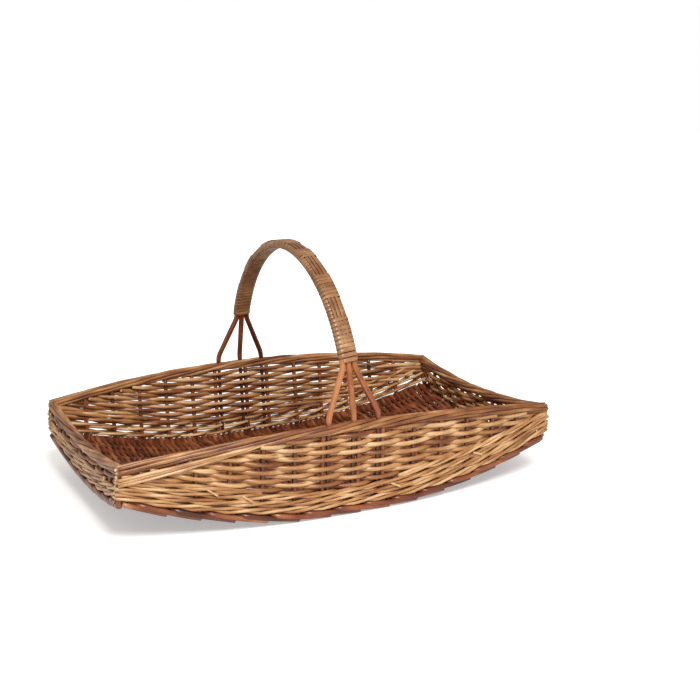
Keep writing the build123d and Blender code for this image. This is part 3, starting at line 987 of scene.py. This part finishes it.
@dataclass
class RimBorder(SidePart):
    """The rolled border: rods that turn round each other like a slow rope, straighter at the ends.

    Rod k stands at the angle 2 pi (k / rods + turns) round the border's middle, from outwards at 0
    to up at a quarter turn. The turns grow evenly in the middle and stop short of the corners.
    """

    rods: int = 6
    turn_length: float = 215.0 * MM
    twisted_half: float = 150.0 * MM
    radius: float = 4.25 * MM
    half_thickness: float = 2.4 * MM
    stoutness: Pair = (0.88, 1.05)
    angle_waver: float = 0.14
    radius_waver: float = 0.35 * MM
    girth_waver: float = 0.06
    tones: Pair = (0.05, 0.7)
    overruns: Pair = (3.0 * MM, -3.0 * MM)
    step: float = 4.5 * MM
    tail_overrun: float = 2.0 * MM
    tail_end: float = -112.0 * MM
    tail_points: int = 44
    tail_drops: tuple[float, ...] = (15.5 * MM, 19.2 * MM, 22.8 * MM)
    tail_close: float = 8.0 * MM
    tail_power: float = 1.6
    tail_out: float = 5.8 * MM
    tail_draw: float = 3.0 * MM
    tail_draw_share: float = 0.2
    tail_waver: float = 0.3 * MM
    tail_halves: Pair = (2.1 * MM, 1.95 * MM)
    tail_tones: Pair = (0.55, 0.9)

    def build(self) -> None:
        """Lays the border."""
        shape, shop, side = self.shape, self.shop, self.side
        bundle = RodBundle(f"rolled_border_{side.value}")
        along = np.linspace(-self.reach, self.reach, int(2 * self.reach / self.step))
        middle = shape.wall_height(side, along) - shape.border_width / 2
        turns = self.twisted_half / self.turn_length * np.tanh(along / self.twisted_half)
        for rod in range(self.rods):
            wobble = shop.wander(along, self.angle_waver)
            angle = TURN * (rod / self.rods + turns) + wobble
            radius = self.radius + shop.wander(along, self.radius_waver)
            girth = self.half_thickness * (1.0 + shop.wander(along, self.girth_waver))
            girth = girth * shop.chance.uniform(*self.stoutness)
            tone = shop.shaded(along, *self.tones)
            out, height = radius * np.cos(angle), middle + radius * np.sin(angle)
            self.lay(bundle, along, out, height, (girth, girth), tone)
        if side.is_long:
            self.add_tails(bundle)
        shop.hand_over(bundle, HONEY_WILLOW, f"rim_border_{side.value}")

    def add_tails(self, bundle: RodBundle) -> None:
        """Adds the rods that rise from the basket's left corner and go in under the border.

        Args:
            bundle: The border's rods.
        """
        start = -self.shape.half_run(self.side) - self.tail_overrun
        world = np.linspace(start, self.tail_end, self.tail_points)
        along = world * self.side.turn
        share = (world - start) / (self.tail_end - start)
        draw = smooth_step((share - 1.0 + self.tail_draw_share) / self.tail_draw_share)
        out = self.tail_out - self.tail_draw * draw
        for drop in self.tail_drops:
            depth = drop + (self.tail_close - drop) * share**self.tail_power
            height = self.shape.wall_height(self.side, along) - depth
            height = height + self.shop.wander(along, self.tail_waver)
            tone = self.shop.shaded(along, *self.tail_tones)
            self.lay(bundle, along, out, height, self.tail_halves, tone)


@dataclass
class FootBorder(SidePart):
    """The border that the basket stands on: rods that come out beside a stake and sink slantwise.

    A rod's height falls on a straight line from high to low. It swings out from inside the wall
    over the first share of its length, and draws in again by the square of the share.
    """

    half_thickness: float = 3.3 * MM
    stoutness: Pair = (0.93, 1.0)
    beside: float = 8.0 * MM
    length: float = 77.0 * MM
    high: float = 10.4 * MM
    low: float = 3.4 * MM
    proud: float = 4.2 * MM
    inside: float = 8.0 * MM
    inside_share: float = 0.16
    draw: float = 2.4 * MM
    height_waver: float = 0.2 * MM
    tones: Pair = (0.1, 0.75)
    cut: float = 0.45
    overruns: Pair = (-1.0 * MM, -1.0 * MM)
    points: int = 22
    least_points: int = 5
    rods_before: int = 3

    def build(self) -> None:
        """Lays the border."""
        shape, shop, side = self.shape, self.shop, self.side
        bundle = RodBundle(f"foot_rods_{side.value}", sides=10)
        count, pitch = shape.stakes_and_pitch(side)
        for number in range(-self.rods_before, count + 1):
            start = (number - (count - 1) / 2) * pitch + self.beside
            whole = np.linspace(start, start + self.length, self.points)
            along = whole[np.abs(whole) < self.reach]
            if len(along) < self.least_points:
                continue
            share = (along - start) / self.length
            height = self.high + (self.low - self.high) * share
            height = (height + shop.wander(along, self.height_waver)) * shape.stretch(side, along)
            swing = self.inside * (1.0 - smooth_step(share / self.inside_share))
            out = self.proud - swing - self.draw * share**2
            girth = self.half_thickness * shop.chance.uniform(*self.stoutness)
            tone = shop.shaded(along, *self.tones)
            self.lay(bundle, along, out, height, (girth, girth), tone, self.cut)
        shop.hand_over(bundle, BROWN_WILLOW, f"foot_border_{side.value}")


@dataclass
class Uprights(SidePart):
    """The stakes of one side, from the foot border up into the rim border."""

    half_thickness: float = 3.0 * MM
    stoutness: Pair = (0.9, 1.03)
    waver: float = 0.4 * MM
    tones: Pair = (0.2, 0.7)
    bottom: float = 7.0 * MM
    reach_in: float = 2.0 * MM
    points: int = 14

    def build(self) -> None:
        """Sets the stakes."""
        shape, shop, side = self.shape, self.shop, self.side
        bundle = RodBundle(f"stakes_upright_{side.value}", sides=10)
        places = shape.stake_places(side)
        tops = shape.wall_height(side, places) - shape.border_width + self.reach_in
        for place, top in zip(places, tops):
            height = np.linspace(self.bottom, top, self.points)
            along = place + shop.wander(height, self.waver)
            girth = self.half_thickness * shop.chance.uniform(*self.stoutness)
            self.lay(bundle, along, 0.0, height, (girth, girth), shop.tone(*self.tones))
        shop.hand_over(bundle, RED_WILLOW, f"stakes_{side.value}")


@dataclass
class CornerPost(SidePart):
    """The post where a side ends and the next begins, from the foot border up to the rim's top."""

    half_thickness: float = 3.6 * MM
    girth_waver: float = 0.03
    tone: float = 0.5
    bottom: float = 1.5 * MM
    below_top: float = 2.0 * MM
    points: int = 20
    corners: tuple[str, ...] = ("front_right", "back_right", "back_left", "front_left")

    def build(self) -> None:
        """Sets the post."""
        corner = dict(zip(Side, self.corners))[self.side]
        bundle = RodBundle(f"post_{corner}", sides=14)
        along = np.full(self.points, self.reach)
        top = float(self.shape.wall_height(self.side, along)[0]) - self.below_top
        height = np.linspace(self.bottom, top, self.points)
        girth = self.half_thickness * (1.0 + self.shop.wander(height, self.girth_waver))
        self.lay(bundle, along, 0.0, height, (girth, girth), self.tone)
        self.shop.hand_over(bundle, RED_WILLOW, f"corner_post_{corner}")


@dataclass
class WovenBase:
    """The base: fine rods side by side across lengthwise sticks, over one and under the next.

    Rod r rises above the sticks' middle by amplitude * c, with c = cos(pi * y / pitch + pi * r)
    broadened, square to the base's slope. Its ends turn up against the wale.
    """

    shop: Workshop
    stick_pitch: float = 46.0 * MM
    sticks: int = 7
    stick_half: float = 2.7 * MM
    stick_tones: Pair = (0.2, 0.6)
    stick_points: int = 90
    middle: float = 7.2 * MM
    amplitude: float = 2.2 * MM
    crest_share: float = 0.2
    rod_half: float = 2.85 * MM
    rod_rise: float = 2.9 * MM
    rod_waver: float = 0.35 * MM
    rod_pitch: float = 4.0 * MM
    rod_points: int = 66
    rod_cut: float = 0.6
    stoutness: Pair = (0.93, 1.05)
    rod_tones: Pair = (0.1, 0.65)
    edge_rise: float = 4.2 * MM
    edge_run: float = 12.0 * MM
    end_inset: float = 3.0 * MM
    first_rod: float = 2.0 * MM
    side_inset: float = 0.8 * MM
    slope_run: float = 1.0 * MM

    def edge(self, x: Values) -> Values:
        """Half the foot's width, which is greatest in the middle.

        Args:
            x: Places along the basket.

        Returns:
            Half the width at each place.
        """
        shape = self.shop.shape
        share = x / shape.foot_half_length
        return shape.foot_half_width + shape.foot_bulge * (1.0 - share**2)

    def level(self, x: Array, y: Array) -> Array:
        """Height of the foot's surface: the long side's lift less the dip between the corners.

        Args:
            x: Places along the basket.
            y: Places across it.

        Returns:
            One height for each place.
        """
        shape = self.shop.shape
        share = x / shape.foot_half_length
        dip = shape.foot_end_dip * share**2 * (1.0 - (y / self.edge(x)) ** 2)
        return shape.lift(share) - dip

    def add_rod(self, bundle: RodBundle, row: int, place: float) -> None:
        """Adds a rod that is woven across the sticks.

        Args:
            bundle: The rods.
            row: Its number, which says over which sticks it goes.
            place: Its x.
        """
        edge = self.edge(place) - self.side_inset
        y = np.linspace(-edge, edge, self.rod_points)
        x = place + self.shop.wander(y, self.rod_waver)
        swing = np.cos(np.pi * (y / self.stick_pitch + row))
        rise = self.amplitude * broadened(swing, self.crest_share)
        turned_up = smooth_step((np.abs(y) - edge + self.edge_run) / self.edge_run)
        rise = rise + self.edge_rise * turned_up
        step = self.slope_run
        slope = (self.level(x + step, y) - self.level(x - step, y)) / (2.0 * step)
        leaning = rise / np.sqrt(1.0 + slope**2)
        z = self.level(x, y) + self.middle + leaning
        path = np.stack([x - slope * leaning, y, z], axis=1)
        girth = self.shop.chance.uniform(*self.stoutness)
        tone = self.shop.shaded(y, *self.rod_tones)
        halves = (self.rod_half * girth, self.rod_rise * girth)
        bundle.add(path, LENGTHWAYS, *halves, tone, self.rod_cut, self.shop.start())

    def build(self) -> None:
        """Lays the sticks and weaves the rods."""
        reach = self.shop.shape.foot_half_length - self.end_inset
        sticks = RodBundle("lengthwise_sticks")
        x = np.linspace(-reach, reach, self.stick_points)
        for number in range(self.sticks):
            y = np.full_like(x, (number - (self.sticks - 1) / 2) * self.stick_pitch)
            path = np.stack([x, y, self.level(x, y) + self.middle], axis=1)
            tone = self.shop.tone(*self.stick_tones)
            sticks.add(path, CROSSWAYS, self.stick_half, self.stick_half, tone)
        weave = RodBundle("base_rods", sides=6)
        last = reach - self.first_rod
        for row, place in enumerate(np.linspace(-last, last, int(2 * reach / self.rod_pitch))):
            self.add_rod(weave, row, float(place))
        self.shop.hand_over(sticks, RED_WILLOW, "base_sticks")
        self.shop.hand_over(weave, BROWN_WILLOW, "base_weave")


@dataclass
class BowHandle:
    """The bow: three rods, three leaders along its top and flat cane wound round them.

    The arch is part of a circle in a plane across the basket. Each leg runs from the arch's end
    over a shoulder, spreads, passes the rim border and goes down inside the wall. Rods and leaders
    are numbered -1, 0 and 1 from left to right.
    """

    shop: Workshop
    offset: float = -4.0 * MM
    rod_half: float = 3.6 * MM
    rod_pitch: float = 7.3 * MM
    rod_step: float = 3.2 * MM
    tip_height: float = 18.0 * MM
    arch_radius: float = 186.0 * MM
    arch_half_angle: float = 62.0
    arch_points: int = 80
    strip_points: int = 120
    crown_height: float = 303.5 * MM
    shoulder_run: float = 13.0 * MM
    spread_drop: float = 14.0 * MM
    rim_clearance: float = 7.0 * MM
    radii: Triple = (28.0 * MM, 18.0 * MM, 36.0 * MM)
    girth_waver: float = 0.035
    tone_waver: float = 0.12
    above_rim_from: float = 108.0 * MM
    above_rim_run: float = 14.0 * MM
    above_rim_tones: Triple = (0.95, 0.85, 0.65)
    # tone of the legs inside the wall: painted shade, for the weave's shadow on them
    buried_shade_tone: float = 0.12
    buried_share: float = 0.66
    back_tone: float = -0.42
    back_from: float = 60.0 * MM
    back_run: float = 60.0 * MM
    leader_half_angle: float = 64.0
    leader_width: float = 3.9 * MM
    leader_slot: float = 0.9 * MM
    leader_thickness: float = 1.1 * MM
    leader_gap: float = 0.5 * MM
    leader_tones: Pair = (0.4, 0.8)
    cane_pitch: float = 5.4 * MM
    cane_width: float = 5.25 * MM
    cane_thickness: float = 0.9 * MM
    cane_crown: float = 1.15
    cane_gap: float = 0.25 * MM
    cane_step: float = 0.6 * MM
    cane_tone: float = 0.55
    points_each_turn: int = 32
    end_drop: float = 9.0 * MM
    windows: tuple[Pair, ...] = ((55.0, 86.0), (122.0, 158.0), (182.0, 208.0))  # millimetres

    def arch(self, x: float, turn: Array, lift: float = 0.0) -> Array:
        """Points of the arch.

        Args:
            x: Their place along the basket.
            turn: Degrees from the crown, towards the back where they are positive.
            lift: How far they lie outside the rods' own circle.

        Returns:
            One point for each turn.
        """
        radius = self.arch_radius + lift
        swing = np.radians(turn)
        z = self.crown_height - self.arch_radius + radius * np.cos(swing)
        return np.stack([np.full_like(swing, x), radius * np.sin(swing), z], axis=-1)

    def leg_corners(self, side: Side, number: int) -> Array:
        """Corners of a leg, from its tip in the wall to the end of the arch.

        Args:
            side: The long side that it goes down.
            number: The rod's number.

        Returns:
            Tip, top of the wall, for an outer rod the end of its spread, shoulder and arch end.
        """
        shape = self.shop.shape
        way = -side.turn
        turn = math.radians(self.arch_half_angle)
        x = self.offset + number * self.rod_pitch
        arch_end = self.arch(x, np.array([way * self.arch_half_angle]))[0]
        downhill = np.array([0.0, way * math.cos(turn), -math.sin(turn)])
        shoulder = arch_end + downhill * self.shoulder_run
        own = side.turn * (self.offset + number * shape.leg_pitch)
        along = np.array([own, own, side.turn * self.offset])
        along = along * shape.foot_half_length / shape.rim_half_length
        heights = shape.wall_height(side, along) + self.rim_clearance
        heights[0] = self.tip_height
        tip, top, middle_top = shape.place(side, along, np.zeros(3), heights)
        corners = [tip, top, shoulder, arch_end]
        if number:
            aim = np.array([x, middle_top[1], middle_top[2]])
            corners.insert(2, shoulder + unit(aim - shoulder) * self.spread_drop)
        return np.array(corners)

    def over_arch(self, front: Array, back: Array, x: float, count: int) -> Array:
        """A line up at the front, through so many points of the arch and down at the back."""
        turn = np.linspace(-self.arch_half_angle, self.arch_half_angle, count)[1:-1]
        return np.concatenate([front, self.arch(x, turn), back[::-1]])

    def rod(self, number: int, name: str) -> RodBundle:
        """One bow rod, from the front wall to the back wall.

        Its hidden ends are slimmer, and darkened with painted shade where the weave hides them.
        Above the rim each rod has its own paler tone, and it is darker towards the back.

        Args:
            number: The rod's number.
            name: What it is called.

        Returns:
            The rod.
        """
        radii = self.radii if number else self.radii[::2]
        front, back = (
            rounded(self.leg_corners(side, number), radii) for side in (Side.FRONT, Side.BACK)
        )
        x = self.offset + number * self.rod_pitch
        path = resampled(self.over_arch(front, back, x, self.arch_points), self.rod_step)
        run = travelled(path)
        girth = self.rod_half * (1.0 + self.shop.wander(run, self.girth_waver))
        above_rim = smooth_step((path[:, 2] - self.above_rim_from) / self.above_rim_run)
        girth = girth * (self.buried_share + (1.0 - self.buried_share) * above_rim)
        # below the rim the tone falls to painted shade, standing in for the weave's shadow on the
        # leg
        tone = self.buried_shade_tone + (self.above_rim_tones[number + 1] - self.buried_shade_tone) * above_rim
        tone = tone + self.shop.wander(run, self.tone_waver)
        tone = tone + self.back_tone * smooth_step((path[:, 1] - self.back_from) / self.back_run)
        bundle = RodBundle(f"bow_{name}", sides=16)
        bundle.add(path, LENGTHWAYS, girth, girth, tone, 1.0, self.shop.start())
        return bundle

    def leader(self, number: int, name: str) -> RodBundle:
        """One leader, a flat strip along the top of the arch.

        Args:
            number: The leader's number.
            name: What it is called.

        Returns:
            The leader.
        """
        x = self.offset + number * (self.leader_width + self.leader_slot)
        lift = self.rod_half + self.cane_thickness + self.leader_gap + self.leader_thickness / 2
        turn = np.linspace(-self.leader_half_angle, self.leader_half_angle, self.strip_points)
        halves = (self.leader_width / 2, self.leader_thickness / 2)
        tone = self.shop.tone(*self.leader_tones)
        bundle = RodBundle(f"leader_strip_{name}")
        bundle.add(self.arch(x, turn, lift), LENGTHWAYS, *halves, tone, 1.0, self.shop.start())
        return bundle

    def cane_line(self) -> tuple[Array, Array]:
        """Middle line of the winding, from its front end to its back end.

        Returns:
            Its points, and the direction outwards at each.
        """
        parts = []
        for side in (Side.FRONT, Side.BACK):
            top, shoulder, arch_end = self.leg_corners(side, 0)[-3:]
            start = shoulder + unit(top - shoulder) * self.end_drop
            parts.append(rounded(np.array([start, shoulder, arch_end]), self.radii[2:]))
        line = resampled(self.over_arch(*parts, self.offset, self.strip_points), self.cane_step)
        heading = unit(np.gradient(line, axis=0))
        return line, np.cross(heading, -LENGTHWAYS)

    def loop(self, share: Array, radius: float) -> tuple[Array, Array]:
        """The flat sided loop of a turn: half circles about the outer rods, joined by two flats.

        Args:
            share: Shares of a turn, from the start of the upper flat.
            radius: Radius of the half circles.

        Returns:
            Distances across the bow from its middle line, and out from it.
        """
        flat, half_circle = 2.0 * self.rod_pitch, math.pi * radius
        run = share * 2.0 * (flat + half_circle)
        down = np.clip((run - flat) / radius, 0.0, math.pi)
        up = np.clip((run - 2.0 * flat - half_circle) / radius, 0.0, math.pi)
        across = np.clip(run, 0.0, flat) - np.clip(run - flat - half_circle, 0.0, flat) - flat / 2
        return across + radius * (np.sin(down) - np.sin(up)), radius * np.cos(down + up)

    def lifted(self, from_end: Array) -> Array:
        """Where the winding passes over the leaders, and where it leaves them to show in a window.

        Args:
            from_end: Distances from the winding's nearer end.

        Returns:
            1 over the leaders and 0 in a window, for each distance.
        """
        over = np.ones_like(from_end)
        for start, end in self.windows:
            over[(from_end > start * MM) & (from_end < end * MM)] = 0.0
        return over

    def winding(self) -> RodBundle:
        """Flat cane wound round the rods, at a pace of one pitch along the bow each turn.

        Returns:
            The cane, unbroken from end to end.
        """
        line, outwards = self.cane_line()
        bow = travelled(line)
        length, half, each = bow[-1], self.cane_width / 2, self.points_each_turn
        step = np.arange(int(length / self.cane_pitch) * each + 1)
        turn, place = np.divmod(step, each)
        radius = self.rod_half + self.cane_thickness / 2 + self.cane_gap
        across, outward = self.loop(place / each, radius)
        whole = half + (turn + 0.5) * self.cane_pitch
        over = self.lifted(np.minimum(whole, length - whole))
        raised = over * (self.leader_thickness + self.leader_gap)
        outward = outward + raised * np.sqrt(np.clip(outward / radius, 0.0, 1.0))
        pace = np.minimum(half + step / each * self.cane_pitch, length - half)
        out = unit(followed(pace, bow, outwards))
        path = followed(pace, bow, line)
        path = path + LENGTHWAYS * across[:, None] + out * outward[:, None]
        bundle = RodBundle("cane_winding")
        halves = (half, self.cane_thickness / 2 * self.cane_crown)
        bow_run = np.cross(LENGTHWAYS, out)
        bundle.add(path, bow_run, *halves, self.cane_tone, 1.0, self.shop.start())
        return bundle

    def build(self) -> None:
        """Bends the rods, lays the leaders and winds the cane."""
        for number, name in zip((-1, 0, 1), ("left", "middle", "right")):
            self.shop.hand_over(self.rod(number, name), RED_WILLOW, f"bow_rod_{name}")
            self.shop.hand_over(self.leader(number, name), TAN_CANE, f"leader_{name}")
        self.shop.hand_over(self.winding(), TAN_CANE, "lapping_front", "lapping_back")


@dataclass
class Studio:
    """A pale floor, soft light and the camera at the photograph's angle."""

    floor_half: float = 6.0
    floor_colour: str = "#f4f3f1"
    sky_colour: str = "#fffaf4"
    white: str = "#ffffff"
    sky_strength: float = 0.46
    key_power: float = 62.0
    key_size: float = 0.9
    key_place: Triple = (-0.35, -1.9, 2.0)
    key_aim: Triple = (0.0, 0.0, 0.1)
    camera_place: Triple = (-0.63556, -1.485755, 0.523184)
    camera_right: Triple = (0.89920307, -0.43734897, -0.01263826)
    camera_up: Triple = (0.10585891, 0.18944042, 0.97616916)
    camera_back: Triple = (-0.42453238, -0.87911217, 0.21664269)
    lens: float = 65.51
    sensor: float = 36.0

    def place(self, name: str, data: bpy.types.ID, where: Matrix) -> bpy.types.Object:
        """Makes an object and puts it in the scene.

        Args:
            name: Its name.
            data: Its mesh, lamp or camera.
            where: Its place and turn.

        Returns:
            The object.
        """
        thing = bpy.data.objects.new(name, data)
        thing.matrix_world = where
        bpy.context.scene.collection.objects.link(thing)
        return thing

    def add_key(self) -> None:
        """Adds the square soft lamp, and turns it to its aim."""
        data = bpy.data.lights.new("key", "AREA")
        data.energy = self.key_power
        data.size = self.key_size
        place = Vector(self.key_place)
        turn = (Vector(self.key_aim) - place).to_track_quat("-Z", "Y").to_matrix()
        self.place("key", data, Matrix.Translation(place) @ turn.to_4x4())

    def add_sky(self) -> None:
        """Lights the object from all round, and shows plain white behind it."""
        world = bpy.data.worlds.new("plain_sky")
        tree = empty_tree(world)
        add = partial(add_node, tree)
        ray = add("LightPath")
        soft = add("Background", {"Color": linear(self.sky_colour), "Strength": self.sky_strength})
        shown = add("Background", {"Color": linear(self.white), "Strength": 1.0})
        seen = {0: ray.outputs["Is Camera Ray"], 1: ray.outputs["Is Transmission Ray"]}
        either = add("Math", seen, operation="MAXIMUM")
        mixed = add("MixShader", {0: either.outputs[0], 1: soft.outputs[0], 2: shown.outputs[0]})
        add("OutputWorld", {"Surface": mixed.outputs[0]})
        bpy.context.scene.world = world

    def paper(self) -> bpy.types.Material:
        """Matt paper, which the camera sees as white but for a soft shadow near the object.

        Returns:
            The material. A glow that grows with the distance from the middle whitens it.
        """
        material = bpy.data.materials.new("matt_paper")
        tree = empty_tree(material)
        add = partial(add_node, tree)
        ray = add("LightPath")
        place = add("TexCoord")
        matt = add("BsdfDiffuse", {"Color": linear(self.floor_colour)})
        away = add("VectorMath", {0: place.outputs["Object"]}, operation="LENGTH")
        rise = {"From Min": 0.3, "From Max": 0.8, "To Min": 0.4, "To Max": 1.0}
        strength = add("MapRange", {"Value": away.outputs["Value"], **rise})
        glow = add("Emission", {"Color": linear(self.white), "Strength": strength.outputs[0]})
        lit = add("AddShader", {0: matt.outputs[0], 1: glow.outputs[0]})
        seen = ray.outputs["Is Camera Ray"]
        chosen = add("MixShader", {0: seen, 1: matt.outputs[0], 2: lit.outputs[0]})
        add("OutputMaterial", {"Surface": chosen.outputs[0]})
        return material

    def build(self) -> None:
        """Sets up floor, light and camera."""
        scene = bpy.context.scene
        scene.view_settings.view_transform = "Standard"
        self.add_sky()
        mesh = bpy.data.meshes.new("floor")
        square = np.array([(-1, -1, 0), (1, -1, 0), (1, 1, 0), (-1, 1, 0)]) * self.floor_half
        mesh.from_pydata(square, [], [(0, 1, 2, 3)])
        mesh.materials.append(self.paper())
        self.place("floor", mesh, Matrix())
        self.add_key()
        data = bpy.data.cameras.new("camera")
        data.lens = self.lens
        data.sensor_width = self.sensor
        turn = Matrix((self.camera_right, self.camera_up, self.camera_back)).transposed()
        where = Matrix.Translation(self.camera_place) @ turn.to_4x4()
        scene.camera = self.place("camera", data, where)
        LOG.info("studio ready")


def main() -> None:
    """Builds the basket side by side, then its posts, base and handle, and the studio."""
    logging.basicConfig(level=logging.INFO, format="%(name)s: %(message)s")
    shop = Workshop(TrugShape())
    for side in Side:
        for maker in (FootBorder, Uprights, UpsettWale, WovenWall, RimBorder):
            maker(shop, side).build()
    for side in Side:
        CornerPost(shop, side).build()
    WovenBase(shop).build()
    BowHandle(shop).build()
    Studio().build()


if __name__ == "__main__":
    main()
